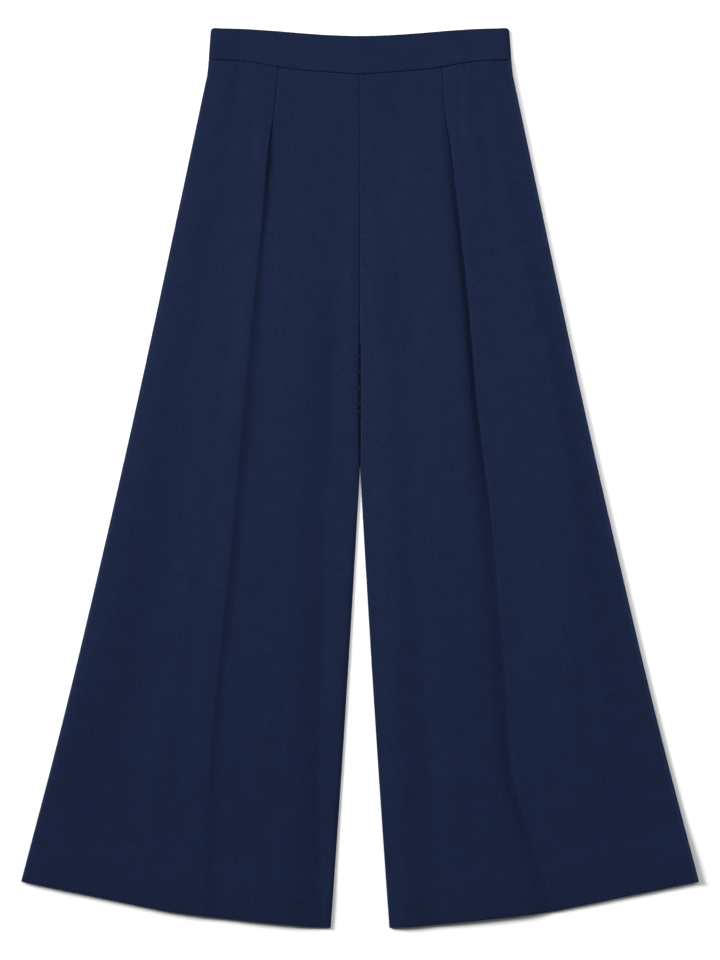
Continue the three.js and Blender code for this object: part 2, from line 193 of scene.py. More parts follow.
# The soft form of each front, with the heights of the cloth above its rest: the crest beside the centre
# seam or inside leg and how far it lies in, the thigh fold, the crest between it and the pleat, the
# pleat's foot, the panel outside the pleat, the side fold, and the crest beside the side seam and how far
# it lies in. On the wearer's left that crest is only the foot of the side edge's lip.
FORM_COLUMNS = (
    "drop inner_in inner thigh_at thigh middle_at middle foot"
    " panel_at panel side_at side crest_in crest"
)
FORM = {
    -1: table(
        FORM_COLUMNS,
        (45, 10, 0.8, 36, 0.8, 64, 0.9, 0.4, 120, 1.7, 139, 1.2, 24, 1.9),
        (113, 10, 0.9, 34, 0.9, 62, 1.0, 0.6, 128, 1.9, 148, 1.6, 21, 2.5),
        (177, 10, 1.0, 32, 0.8, 60, 1.0, 0.6, 132, 2.8, 156, 2.3, 16, 3.3),
        (259, 8, 1.2, 26, 0.4, 72, 1.6, 0.9, 143, 2.6, 168, 1.9, 17, 3.2),
        (318, 8, 1.2, 28, 0.2, 72, 2.9, 1.8, 150, 3.0, 176, 2.4, 17, 3.5),
        (434, 8, 1.0, 33, 0.1, 74, 3.5, 2.8, 168, 3.6, 204, 3.0, 20, 4.7),
        (516, 6, 0.7, 36, 0.1, 78, 3.0, 2.4, 180, 3.4, 211, 2.6, 17, 4.7),
        (598, 5, 1.1, 41, 0.1, 86, 3.0, 2.3, 186, 3.3, 222, 2.3, 20, 4.6),
        (680, 5, 1.4, 42, 0.1, 84, 3.4, 2.6, 200, 3.5, 243, 2.2, 24, 4.7),
        (762, 5, 1.2, 45, 0.1, 84, 3.0, 2.3, 210, 2.9, 255, 1.8, 17, 4.3),
        (843, 5, 1.0, 47, 0.1, 85, 3.1, 2.5, 222, 2.8, 280, 1.6, 14, 3.8),
        (925, 4, 0.8, 46, 0.1, 88, 2.7, 1.9, 230, 2.2, 290, 1.2, 22, 2.6),
        (1000, 4, 0.6, 44, 0.1, 96, 2.7, 2.0, 225, 2.4, 262, 2.2, 62, 2.2),
    ),
    1: table(
        FORM_COLUMNS,
        (45, 12, 0.9, 50, 0.8, 80, 0.9, 0.4, 126, 1.8, 148, 1.4, 10, 0.9),
        (113, 14, 1.3, 44, 1.4, 82, 2.4, 0.7, 126, 3.0, 152, 1.9, 10, 0.8),
        (177, 14, 1.6, 40, 1.6, 86, 3.4, 0.3, 134, 3.6, 164, 2.4, 11, 0.7),
        (259, 16, 2.2, 38, 2.0, 88, 4.3, 0.1, 150, 3.9, 184, 3.4, 9, 0.4),
        (318, 20, 2.9, 58, 1.8, 100, 4.1, 0.1, 172, 4.2, 198, 4.0, 9, 0.8),
        (434, 31, 4.4, 66, 3.4, 104, 4.6, 0.1, 204, 4.9, 226, 4.6, 8, 1.2),
        (516, 33, 4.6, 60, 3.9, 104, 4.8, 0.1, 220, 5.0, 238, 4.8, 8, 1.2),
        (598, 34, 4.7, 62, 3.8, 104, 4.5, 0.1, 236, 5.0, 248, 4.8, 10, 1.2),
        (680, 33, 4.5, 66, 3.4, 110, 4.4, 0.1, 246, 4.2, 264, 3.9, 14, 1.0),
        (762, 28, 3.9, 74, 2.6, 116, 4.1, 0.1, 252, 3.1, 280, 2.9, 16, 0.7),
        (843, 26, 3.1, 80, 1.5, 124, 4.1, 0.1, 262, 2.2, 290, 2.3, 18, 0.5),
        (925, 24, 2.7, 84, 1.8, 146, 3.4, 0.2, 262, 1.8, 310, 1.3, 18, 0.6),
        (1000, 20, 2.6, 88, 1.7, 156, 3.1, 0.1, 268, 1.0, 316, 1.0, 10, 1.4),
    ),
}

# Small creases of each front, from one end to the other: each lies this deep, or stands up where it is
# negative, and fades over this width on both sides.
CREASE_COLUMNS = "from_drop to_drop from_across to_across depth width"
CREASES = {
    -1: table(
        CREASE_COLUMNS,
        (66, 150, 128, 124, 0.35, 7),
        (60, 175, 152, 163, 0.3, 8),
        (300, 470, 88, 95, 0.2, 11),
        (520, 760, 96, 112, 0.25, 14),
        (640, 900, 214, 262, 0.3, 16),
        (700, 985, 300, 352, 0.35, 15),
        (860, 1030, 92, 104, 0.3, 14),
    ),
    1: table(
        CREASE_COLUMNS,
        (84, 290, 138, 168, 0.4, 7),
        (90, 215, 114, 128, 0.3, 6),
        (96, 200, 20, 15, -0.25, 8),
        (330, 560, 84, 96, 0.25, 12),
        (480, 740, 205, 232, 0.25, 16),
        (700, 960, 268, 318, 0.3, 18),
        (820, 1020, 120, 132, 0.3, 15),
    ),
}

# Where a front rolls over to meet its neighbour: how wide the roll is inside the leg and at the side, its
# share of the rise to the crest, how full its curve is, how deep the cloth dips at the centre seam, and
# how early the gentler rise after the roll is.
ROLL = {
    "inside": {-1: 4, 1: 1.3},
    "inside_share": {-1: 0.6, 1: 0.36},
    "side": {-1: 8, 1: 4},
    "side_share": 0.78,
    "fullness": 0.77,
    "seam_dip": 0.4,
    "ease": 1.4,
}
# The lip of a side edge that curls up a little: how far it rises, how far in its foot and its top lie,
# how late it rises, and how wide the level stretch before it is at least.
LIP = {"rise": {-1: 0, 1: 1.9}, "foot": 5.8, "top": 0.8, "late": 1.6, "level": 1}
# How late the slopes into the thigh fold and into the pleat fall.
LATE = {"thigh": 1.6, "pleat": {-1: 1.4, 1: 3.6}}
# Where the cloth beside a pleat is level: how far inside its foot, how far inside its edge at least, and
# how far outside it.
PLEAT_LEVEL = {"inside": 0.6, "inside_least": 0.45, "outside": 2.5}
# Where the fronts part a little over the inner edges of the backs, and how far.
PARTING = {"start": 320, "end": 560, "width": 1.5}
# How the cloth rises over the zip's slider and pull: the back closely, and the front in one broad swell.
RISE = {
    "back": {"height": 2.75, "flat": 3.2, "reach": 15, "flat_drop": 20, "end_drop": 50},
    "front": {"height": 2.75, "flat": 4, "reach": 125, "flat_drop": 20, "end_drop": 170},
}

# The turned hem: its depth, the distance between its layers, and how the fronts rise over the layers of
# both hems.
TURNED = {"depth": 34, "layer": 0.95, "inset": 2.1, "raise": 1.15, "full_below": 6, "ease": 40}
# The waistband seam: the width of its groove, how the cloth rounds off into it, the width of the wall by
# which the front goes down, how far the front's turned allowance lies under the waistband and keeps back
# from its side, and the share of its own rise that the front keeps there.
TUCK = {
    "gap": 1.1,
    "depth": 0.4,
    "reach": 1.4,
    "wall": 0.4,
    "allowance": 3,
    "keep_back": 2.4,
    "layered": 0.85,
}
# The ripples below and above the waistband seam: their height, spacing and reach, and where they begin
# and end.
PUCKER = {"height": 0.22, "spacing": 9, "reach": 16, "begin": (110, 130), "end": (158, 170)}
# The unevenness of a front: its height, how far apart its waves lie across and along, the share and scale
# of its finer waves, where each leg lies in the noise, and how far it keeps off the edges.
UNEVEN = {
    "height": 0.34,
    "across": 46,
    "along": 95,
    "finer": 0.4,
    "scale": 2.3,
    "place": (7, 3.1),
    "edge": 8,
}
# The front waistband has a share of the same unevenness, with closer waves.
BAND_UNEVEN = {"share": 0.35, "across": 1.3, "along": 3}
# A back curls up by this much from the floor at its seams, and over this much at the waistband.
BACK_CURL = 0.5
BACK_TUCK = 1.6
# The shallow creases of a back: how far they rise, how many lie across and along, how narrow they are,
# and where each leg lies in the noise.
BACK_CREASES = {"rise": 0.28, "across": 5.2, "along": 3.4, "narrow": 3.2, "place": (11, 1.7)}

# How finely the cloth is divided: the rows of a panel, how much closer they lie towards the waistband,
# drops below the waistband seam that have a row of their own, and the steps of each stretch of a front's
# section.
PANEL_ROWS = {"front": 230, "back": 150}
ROW_CROWDING = 1.35
SEAM_ROWS = {"front": (1.4, 2, 2.8), "back": (0, 0.4, 0.8, 1.3, 2, 3)}
STEPS_ACROSS = {
    "roll": 12,
    "shoulder": 8,
    "thigh": 14,
    "middle": 14,
    "pleat": 24,
    "pleat_level": 4,
    "bend": 10,
    "panel": 16,
    "side": 16,
    "crest": 10,
    "lip_foot": 3,
    "lip": 14,
}
# Places of the waistband's rows between its seam, at 1, and its upper edge, at 0.
BAND_SHARES = [1, 0.985, 0.965, 0.94]
BAND_SHARES += [0.9 - 0.06 * i for i in range(14)]
BAND_SHARES += [0.08, 0.055, 0.035, 0.02, 0.01, 0.004, 0]
# A back waistband's columns lie closer together towards the zip, and its end keeps this far from the
# other half's.
BACK_BAND = {"columns": 90, "crowding": 1.4, "keep_back": 0.1}
# How far the rounding of a cut edge reaches.
ROUNDING = {"panel": 0.25, "band": 0.4}

# The grain of the crepe, with a slow drift of shade: the size and contrast of each, the shade's offset,
# and the relief. The pebbles of the real grain are about 0.5 mm, too fine to show from this far, so they
# are drawn at 1.6 mm.
GRAIN = {
    "size": 1.6,
    "contrast": 2.4,
    "drift_size": 22,
    "drift_contrast": 0.38,
    "offset": -0.9,
    "relief": 0.12,
}
# The worn patches on the enamel of the zip: their size, how rough the enamel is at least, and how much
# rougher wear makes it.
WEAR = {"size": 0.8, "least_rough": 0.22, "rougher": 0.25}

# The stage, in metres: the floor, how much of the garment one pixel of the photo shows, and the camera. The
# image's height alone is in pixels.
FLOOR = {"size": 12.0, "below": 0.05 * MM, "white": 0.94}
PIXEL = 1.1684 * MM
IMAGE_HEIGHT = 960
IMAGE_CENTRE_Y = -2.3 * MM
CAMERA_HEIGHT = 5.0
CAMERA_REACH = 50
# Softboxes far off: where each stands as a turn from the garment's top edge and a height in degrees, how
# wide it looks from the garment, and how much light it gives.
SOFTBOXES = table(
    "name turn height width strength",
    ("left_softbox", 60, 23, 28, 6.2),
    ("right_softbox", -62, 23, 28, 1.3),
)
TOP_SOFTBOX = {"place": (0, 0.32, 0.85), "size": (2.2, 0.8), "power": 8.7}
SKY_STRENGTH = 0.1


def lerp(a, b, share):
    """The value at a share of the way from a to b."""
    return a + (b - a) * share


def clamp(value, low=0.0, high=1.0):
    """The value, or the limit that it passes."""
    return min(max(value, low), high)


def smoothstep(value, low, high):
    """A smooth rise from 0 at the low place to 1 at the high one."""
    share = clamp((value - low) / (high - low))
    return share * share * (3 - 2 * share)


def read(rows, key, column, place):
    """The value of a column at a place along a table, on a smooth curve that never passes its rows."""
    if place <= rows[0][key]:
        return rows[0][column]
    if place >= rows[-1][key]:
        return rows[-1][column]
    after = next(i for i, row in enumerate(rows) if row[key] > place)

    def rate(i):
        return (rows[i + 1][column] - rows[i][column]) / (rows[i + 1][key] - rows[i][key])

    def slope(i):
        if i == 0:
            return rate(0)
        if i == len(rows) - 1:
            return rate(i - 1)
        low, high = rate(i - 1), rate(i)
        return 2 * low * high / (low + high) if low * high > 0 else 0

    a, b = rows[after - 1], rows[after]
    span = b[key] - a[key]
    t = (place - a[key]) / span
    start = t * (1 - t) ** 2 * span * slope(after - 1)
    end = t * t * (1 - t) * span * slope(after)
    return lerp(a[column], b[column], t * t * (3 - 2 * t)) + start - end


def read_all(rows, drop):
    """The values of all columns of a table at a drop."""
    return {column: read(rows, "drop", column, drop) for column in rows[0]}


# The outline.
def band_top_drop(across):
    """The drop of the waistband's upper edge, which dips towards the centre."""
    share = min(across / BAND["dip_reach"], 1)
    return BAND["dip"] * (1 + math.cos(math.pi * share)) / 2


def band_half(drop):
    """Half the waistband's width at a drop, with its rounded upper corner."""
    in_corner = max(BAND["corner"] - drop, 0)
    cut = BAND["corner"] - math.sqrt(BAND["corner"] ** 2 - in_corner**2)
    return lerp(BAND["top_half"], BAND["seam_half"], min(drop / BAND["seam_drop"], 1)) - cut


def inner_edge(drop):
    """How far a leg's inner edge lies from the centre line."""
    below = max(drop - LEG_SPLIT["drop"], 0)
    return SEAM / 2 + LEG_SPLIT["spread"] * below + LEG_SPLIT["bow"] * below * below


def zip_rise(side, across, drop):
    """How far the cloth of the front or the back stands up over the zip's slider and pull."""
    rise = RISE[side]
    sideways = 1 - smoothstep(abs(across), rise["flat"], rise["reach"])
    return rise["height"] * sideways * (1 - smoothstep(drop, rise["flat_drop"], rise["end_drop"]))


def front_parting(drop):
    """How far a front keeps back from the inner edge where the legs part."""
    share = clamp((drop - PARTING["start"]) / (PARTING["end"] - PARTING["start"]))
    return PARTING["width"] * math.sin(math.pi * share) ** 2


class PanelRow:
    """A line across a panel, at a share of the way from the waistband seam to the hem."""

    def __init__(self, share):
        self.share = share
        self.centre_drop = lerp(WAIST_SEAM[0]["drop"], LENGTH, share) + (1 - share) * SEAM / 2
        self.side_drop = lerp(BAND["seam_drop"], SIDE_HEM_DROP, share) + (1 - share) * SEAM / 2
        self.inner = inner_edge(self.centre_drop)
        self.side = read(SIDE_SEAM, "drop", "half", self.side_drop)
        self.middle_drop = (self.centre_drop + self.side_drop) / 2

    def drop_at(self, across):
        """The drop of the row at a distance across."""
        fraction = clamp((across - self.inner) / (self.side - self.inner))
        waist = read(WAIST_SEAM, "across", "drop", fraction * BAND["seam_half"]) + SEAM / 2
        hem_across = lerp(inner_edge(LENGTH), SIDE_SEAM[-1]["half"], fraction)
        return lerp(waist, read(HEM, "across", "drop", hem_across), self.share)


# Sections: lists of [across, height] along the middle of the cloth.
def ease_to(section, across, height, steps, late=1.0):
    """Adds points from the section's last point to a crest or a trough, level at both. A late slope is
    steepest near its end."""
    start = section[-1]
    for i in range(1, steps + 1):
        t = i / steps
        eased = t**late
        section.append([lerp(start[0], across, t), lerp(start[1], height, eased * eased * (3 - 2 * eased))])


def roll_up(edge, foot, crest_across, crest, steps):
    """The points of a roll from its standing edge up to its crest."""
    points = []
    for i in range(steps + 1):
        angle = i / steps * math.pi / 2
        full = ROLL["fullness"]
        away = max(math.cos(angle), 0) ** full
        points.append([lerp(crest_across, edge, away), lerp(foot, crest, math.sin(angle) ** full)])
    return points


def shoulder(edge, foot, crest_across, crest, roll, share):
    """The points of an edge that rolls up quickly by a share of its height, then rises more gently to its
    crest."""
    width = min(roll, abs(crest_across - edge)) * (1 if crest_across > edge else -1)
    low = lerp(foot, crest, share if abs(crest_across - edge) > roll else 1)
    points = roll_up(edge, foot, edge + width, low, STEPS_ACROSS["roll"])
    steps = STEPS_ACROSS["shoulder"]
    for i in range(1, steps + 1):
        points.append([lerp(edge + width, crest_across, i / steps), low])
    for point in points:
        left = clamp(1 - (point[0] - edge) / (crest_across - edge))
        point[1] += (crest - low) * (1 - left ** ROLL["ease"])
    return points


def add_pleat(section, drop, leg, rest):
    """Adds the pleat's foot, flap and edge to a section that arrives from the inside of the leg."""
    at = read_all(PLEAT[leg], drop)
    turn, edge, foot, flap = math.radians(at["turn"]), at["edge"], at["foot"], at["flap"]
    top = rest + (edge + foot) * (1 - math.cos(turn)) + flap * math.sin(turn)
    edge_end = at["across"] + edge * math.sin(min(turn, math.pi / 2))
    foot_start = edge_end - edge * math.sin(turn) - flap * math.cos(turn) - foot * math.sin(turn)
    level = min(foot_start - PLEAT_LEVEL["inside"], at["across"] - PLEAT_LEVEL["inside_least"])
    ease_to(section, level - at["step"], rest + at["hug"], STEPS_ACROSS["pleat"], LATE["pleat"][leg])
    ease_to(section, level, rest, STEPS_ACROSS["pleat_level"])
    steps = STEPS_ACROSS["bend"]
    for i in range(steps + 1):
        angle = turn * i / steps
        section.append([foot_start + foot * math.sin(angle), rest + foot * (1 - math.cos(angle))])
    for i in range(steps, -1, -1):
        angle = turn * i / steps
        section.append([edge_end - edge * math.sin(angle), top - edge * (1 - math.cos(angle))])
    outside = max(edge_end, foot_start + foot * math.sin(min(turn, math.pi / 2)))
    section.append([outside + PLEAT_LEVEL["outside"], top])


def crease_depth(leg, across, drop):
    """How deep the small creases lie at a place on a front."""
    deep = 0
    for crease in CREASES[leg]:
        t = (drop - crease["from_drop"]) / (crease["to_drop"] - crease["from_drop"])
        if 0 < t < 1:
            line = lerp(crease["from_across"], crease["to_across"], t)
            fade = math.sin(math.pi * t)
            deep += crease["depth"] * fade * math.exp(-(((across - line) / crease["width"]) ** 2))
    return deep


def unevenness(leg, across, drop):
    """The soft unevenness of cloth that has been smoothed out by hand."""
    aside, apart = UNEVEN["place"]
    place = Vector((across / UNEVEN["across"] + aside * leg, drop / UNEVEN["along"], apart * leg))
    finer = UNEVEN["finer"] * UNEVEN["height"] * noise.noise(place * UNEVEN["scale"])
    return UNEVEN["height"] * noise.noise(place) + finer


def hem_raise(row):
    """How far a front is raised at a row by the turned layers of the hems under it."""
    above_hem = (1 - row.share) * (SIDE_HEM_DROP - BAND["seam_drop"])
    full_to, flat_from = TURNED["depth"] - TURNED["full_below"], TURNED["depth"] + TURNED["ease"]
    return TURNED["raise"] * (1 - smoothstep(above_hem, full_to, flat_from))


def front_section(row, leg, thickness, inset):
    """One section of a front, from the inside edge to the side seam. A turned hem lies inset under the
    front."""
    rest = FRONT_REST + hem_raise(row) - inset
    form = read_all(FORM[leg], row.middle_drop)
    shift = row.inner - inner_edge(row.middle_drop)
    outer_shift = row.side - read(SIDE_SEAM, "drop", "half", row.middle_drop)
    foot = PANEL_WALL + LAYER_GAP
    edge = row.inner + front_parting(row.centre_drop) + thickness / 2 + inset
    standing = smoothstep(row.centre_drop, BAND["seam_drop"], CROTCH_DROP)
    inner_foot = lerp(rest + form["inner"] - ROLL["seam_dip"], foot, standing)
    roll, share = ROLL["inside"][leg], ROLL["inside_share"][leg]
    section = shoulder(edge, inner_foot, edge + form["inner_in"], rest + form["inner"], roll, share)
    ease_to(section, form["thigh_at"] + shift, rest + form["thigh"], STEPS_ACROSS["thigh"])
    ease_to(section, form["middle_at"], rest + form["middle"], STEPS_ACROSS["middle"], 1 / LATE["thigh"])
    add_pleat(section, row.middle_drop, leg, rest + form["foot"])
    ease_to(section, form["panel_at"] + outer_shift / 2, rest + form["panel"], STEPS_ACROSS["panel"])
    ease_to(section, form["side_at"] + outer_shift, rest + form["side"], STEPS_ACROSS["side"])
    side_edge = row.side - thickness / 2 - inset
    crest_across = side_edge - form["crest_in"]
    ease_to(section, crest_across, rest + form["crest"], STEPS_ACROSS["crest"])
    roll, share, lip = ROLL["side"][leg], ROLL["side_share"], LIP["rise"][leg]
    top = rest + form["crest"]
    if lip:
        lip_foot = max(crest_across + LIP["level"], side_edge - LIP["foot"])
        ease_to(section, lip_foot, top, STEPS_ACROSS["lip_foot"])
        crest_across = side_edge - LIP["top"]
        top += lip
        ease_to(section, crest_across, top, STEPS_ACROSS["lip"], LIP["late"])
    section += shoulder(side_edge, foot, crest_across, top, roll, share)[-2::-1]
    for point in section:
        across, height = point
        drop = row.drop_at(across)
        away = smoothstep(across, edge, edge + UNEVEN["edge"])
        away *= 1 - smoothstep(across, side_edge - UNEVEN["edge"], side_edge)
        change = unevenness(leg, across, drop) - crease_depth(leg, across, drop)
        point[1] = max(height + away * change, min(height, rest))
    return section


def row_shares(rows, at_seam):
    """Places of a panel's rows, closer together towards the waistband, with the given places beside the
    seam."""
    return at_seam + [lerp(at_seam[-1], 1, (i / rows) ** ROW_CROWDING) for i in range(1, rows + 1)]


def panel_lines(rows, beside_seam):
    """The lines of a panel from the inner end of its turned hem, round the fold and up to the waistband
    seam. Each gives its row, how far it is turned under, and how far past its row the fold reaches."""
    length = SIDE_HEM_DROP - BAND["seam_drop"]
    radius = TURNED["layer"] / 2
    fold_share = 1 - radius / length
    at_seam = [place / length for place in beside_seam]
    main = [share for share in row_shares(rows, at_seam) if share < fold_share - radius / length]
    lines = []
    turned_rows, crowding = 8, 0.6
    for i in range(turned_rows):
        above = lerp(TURNED["depth"], 2 * radius, (i / turned_rows) ** crowding)
        lines.append((PanelRow(1 - above / length), 1.0, 0.0))
    arc_steps = 8
    for i in range(arc_steps + 1):
        angle = math.pi * (1 - i / arc_steps)
        lines.append((PanelRow(fold_share), (1 - math.cos(angle)) / 2, radius * math.sin(angle)))
    lines += [(PanelRow(share), 0.0, 0.0) for share in reversed(main)]
    return lines


def tucked(height, from_seam):
    """The height of cloth that rounds off into the groove of the waistband seam."""
    share = 1 - clamp((from_seam - TUCK["gap"] / 2) / TUCK["reach"])
    return height - TUCK["depth"] * share * share


def pucker(across, from_seam):
    """Small ripples where the waistband seam has drawn the cloth up."""
    gathered = smoothstep(across, *PUCKER["begin"]) * (1 - smoothstep(across, *PUCKER["end"]))
    fade = gathered * clamp(1 - from_seam / PUCKER["reach"]) ** 2
    return PUCKER["height"] * fade * math.sin(2 * math.pi * across / PUCKER["spacing"])


def cloth(name, columns, rows, point, thickness, rounding):
    """A sheet of cloth bent from a flat grid, and its area. point(column, row) gives each place in
    millimetres."""
    bm = bmesh.new()
    bmesh.ops.create_grid(bm, x_segments=columns, y_segments=rows, size=0.5)
    grid = {}
    for vert in bm.verts:
        place = round((vert.co.x + 0.5) * columns), round((vert.co.y + 0.5) * rows)
        grid[place] = vert
        vert.co = Vector(point(*place)) * MM
    lay_flat(bm, grid, columns, rows)
    area = sum(face.calc_area() for face in bm.faces)
    mesh = bpy.data.meshes.new(name)
    bm.to_mesh(mesh)
    bm.free()
    mesh.shade_smooth()
    piece = bpy.data.objects.new(name, mesh)
    bpy.context.scene.collection.objects.link(piece)
    wall = piece.modifiers.new("wall", "SOLIDIFY")
    wall.thickness, wall.offset = thickness * MM, 0
    edge = piece.modifiers.new("edge", "BEVEL")
    edge.width, edge.segments = rounding * MM, 2
    edge.limit_method, edge.angle_limit = "ANGLE", math.radians(50)
    return piece, area


def lay_flat(bm, grid, columns, rows):
    """Gives the cloth a UV map in metres: along the cloth across the panel, and down the garment."""
    layer = bm.loops.layers.uv.new("cloth")
    flat = {}
    for row in range(rows + 1):
        along = 0.0
        for column in range(columns + 1):
            vert = grid[column, row]
            if column:
                along += (vert.co - grid[column - 1, row].co).length
            flat[vert] = [along, 0.0]
        for column in range(columns + 1):
            flat[grid[column, row]][0] -= along / 2
    down = 0.0
    for row in range(rows + 1):
        if row:
            down += (grid[columns // 2, row].co - grid[columns // 2, row - 1].co).length
        for column in range(columns + 1):
            flat[grid[column, row]][1] = down
    for face in bm.faces:
        for loop in face.loops:
            loop[layer].uv = flat[loop.vert]


def front(leg, thickness):
    """A front panel with its pleat and its turned hem. Leg is 1 for the wearer's left and -1 for the
    right."""
    gap, wall = TUCK["gap"] / 2, TUCK["wall"]
    allowance, steps_down = TUCK["allowance"], 6
    going_down = [gap + wall * i / steps_down for i in range(steps_down + 1)]
    beside_seam = [-allowance, -allowance / 3, 0, *going_down, *SEAM_ROWS["front"]]
    lines = panel_lines(PANEL_ROWS["front"], beside_seam)
    sections = [front_section(row, leg, thickness, under * TURNED["layer"]) for row, under, _ in lines]
    columns = len(sections[0]) - 1

    def point(column, line):
        row, _, past = lines[line]
        across, height = sections[line][column if leg > 0 else columns - column]
        drop = row.drop_at(across)
        from_seam = drop - row_seam(across, row)
        under = 1 - smoothstep(from_seam, gap, gap + wall)
        seam_rest = BAND_WALL + thickness / 2
        layered = seam_rest + TUCK["layered"] * max(height - FRONT_REST - FORM[leg][0]["foot"], 0)
        below_band = min(layered, seam_rest + LAYER_GAP / 2 + band_rise(across, 1) - thickness)
        height = lerp(tucked(height, from_seam) + pucker(across, from_seam), below_band, under)
        across *= 1 - under * TUCK["keep_back"] / row.side
        return leg * across, TOP - drop - past, height + zip_rise("front", across, drop)

    return cloth("cloth_front_" + SIDES[leg], columns, len(lines) - 1, point, thickness, ROUNDING["panel"])


def row_seam(across, row):
    """The drop of the waistband seam above a place on a row."""
    fraction = clamp((across - row.inner) / (row.side - row.inner))
    return read(WAIST_SEAM, "across", "drop", fraction * BAND["seam_half"]) + SEAM / 2


def back_section(row, leg, thickness, under):
    """One section of a back, flat on the floor, with its edges curled up to meet the front's. Under is 1
    where the hem is turned in and lies flat on the back."""
    middle = thickness / 2 + under * TURNED["layer"]
    inner = row.inner + thickness / 2 + under * TURNED["inset"]
    side = row.side - thickness / 2 - under * TURNED["inset"]
    curl = BACK_CURL * (1 - under)
    steps = 5
    section = []
    for i in range(steps + 1):
        angle = math.pi / 2 * (1 - i / steps)
        section.append([inner + BACK_CURL * (1 - math.sin(angle)), middle + curl * (1 - math.cos(angle))])
    count = 64
    for i in range(1, count):
        across = lerp(inner + BACK_CURL, side - BACK_CURL, i / count)
        section.append([across, middle + back_trough(leg, across, row)])
    for i in range(steps + 1):
        angle = math.pi / 2 * i / steps
        section.append([side - BACK_CURL * (1 - math.sin(angle)), middle + curl * (1 - math.cos(angle))])
    return section


def back_trough(leg, across, row):
    """The shallow creases of a back, which rise from the floor."""
    share = (across - row.inner) / (row.side - row.inner)
    ends = math.sin(math.pi * clamp(share)) ** 0.5 if 0 < share < 1 else 0
    aside, apart = BACK_CREASES["place"]
    along = row.share * BACK_CREASES["along"]
    place = Vector((share * BACK_CREASES["across"] + aside * leg, along, apart * leg))
    ridge = 1 - abs(noise.noise(place)) * BACK_CREASES["narrow"]
    deep = max(ridge, 0) ** 2
    above_hem = (1 - row.share) * (SIDE_HEM_DROP - BAND["seam_drop"])
    clear = smoothstep(above_hem, TURNED["depth"], TURNED["depth"] + TURNED["ease"])
    return BACK_CREASES["rise"] * deep * ends * clear


def back(leg, thickness):
    """A back panel with its turned hem."""
    lines = panel_lines(PANEL_ROWS["back"], SEAM_ROWS["back"])
    sections = [back_section(row, leg, thickness, under) for row, under, _ in lines]
    columns = len(sections[0]) - 1

    def point(column, line):
        row, _, past = lines[line]
        across, height = sections[line][column if leg > 0 else columns - column]
        drop = row.drop_at(across)
        beside_seam = 1 - clamp((drop - row_seam(across, row)) / BACK_TUCK)
        return leg * across, TOP - drop - past, height + BACK_CURL * beside_seam * beside_seam

    return cloth("cloth_back_" + SIDES[leg], columns, len(lines) - 1, point, thickness, ROUNDING["panel"])


# The waistband.
def band_drop(across, share):
    """The drop of a place on the waistband, at a share of the way from its upper edge to its seam."""
    return lerp(band_top_drop(across), read(WAIST_SEAM, "across", "drop", across) - SEAM / 2, share)


def band_rise(across, share):
    """How far the front waistband stands above its rest."""
    upper, lower = (read(BAND_FORM, "across", edge, across) for edge in ("upper", "lower"))
    return lerp(upper, lower, share)


def band_section(share):
    """Half a section of the front waistband, from the centre to the side."""
    edge = band_half(share * BAND["seam_drop"]) - BAND_WALL / 2
    shoulder_at = edge - BAND["roll"]
    count, roll_steps = 60, 10
    section = []
    for i in range(count):
        across = shoulder_at * i / count
        section.append([across, BAND_REST + band_rise(across, share)])
    crest = BAND_REST + band_rise(shoulder_at, share)
    return section + roll_up(edge, BAND_WALL + LAYER_GAP, shoulder_at, crest, roll_steps)[::-1]


def front_band(thickness):
    """The front waistband, in one piece."""
    halves = [band_section(share) for share in BAND_SHARES]
    middle = len(halves[0]) - 1

    def point(column, row):
        i = abs(column - middle)
        across, height = halves[row][i]
        groove = BAND_SHARES[row] * (TUCK["gap"] - SEAM) / 2
        drop = band_drop(across, BAND_SHARES[row]) - groove
        from_seam = read(WAIST_SEAM, "across", "drop", across) - drop
        leg = 1 if column >= middle else -1
        away = 1 - smoothstep(across, BAND["top_half"] - BAND["roll"], BAND["top_half"])
        waves_at = across * BAND_UNEVEN["across"] * leg, drop * BAND_UNEVEN["along"]
        height += BAND_UNEVEN["share"] * away * unevenness(leg, *waves_at) + pucker(across, from_seam)
        height = tucked(height, from_seam) + zip_rise("front", across, drop)
        return leg * across, TOP - drop, height

    rows = len(BAND_SHARES) - 1
    return cloth("cloth_waistband_front", 2 * middle, rows, point, thickness, ROUNDING["band"])


def back_band(leg, thickness):
    """One half of the back waistband, flat on the floor."""
    columns = BACK_BAND["columns"]

    def point(column, row):
        share = BAND_SHARES[row]
        half = band_half(share * BAND["seam_drop"]) - thickness / 2
        fraction = ((column if leg > 0 else columns - column) / columns) ** BACK_BAND["crowding"]
        across = lerp(SEAM / 2 + BACK_BAND["keep_back"], half, fraction)
        drop = band_drop(across, share)
        return leg * across, TOP - drop, thickness / 2 + zip_rise("back", across, drop)

    name = "cloth_waistband_back_" + SIDES[leg]
    return cloth(name, columns, len(BAND_SHARES) - 1, point, thickness, ROUNDING["band"])


# Materials.
def linear(code):
    """Linear colour of an sRGB hex code."""
    parts = [int(code[i : i + 2], 16) / 255 for i in (0, 2, 4)]
    return tuple(p / 12.92 if p <= 0.04045 else ((p + 0.055) / 1.055) ** 2.4 for p in parts)


def add_node(tree, kind, links=None, **settings):
    """Adds a node with its settings, and with its inputs set or linked."""
    node = tree.nodes.new(kind)
    for name, value in settings.items():
        setattr(node, name, value)
    for name, value in (links or {}).items():
        socket = node.inputs[name]
        if isinstance(value, bpy.types.NodeSocket):
            tree.links.new(value, socket)
        else:
            socket.default_value = value
    return node


def new_material(name):
    """A material with its node tree and its main shader."""
    material = bpy.data.materials.new(name)
    material.use_nodes = True
    tree = material.node_tree
    return material, tree, tree.nodes["Principled BSDF"]


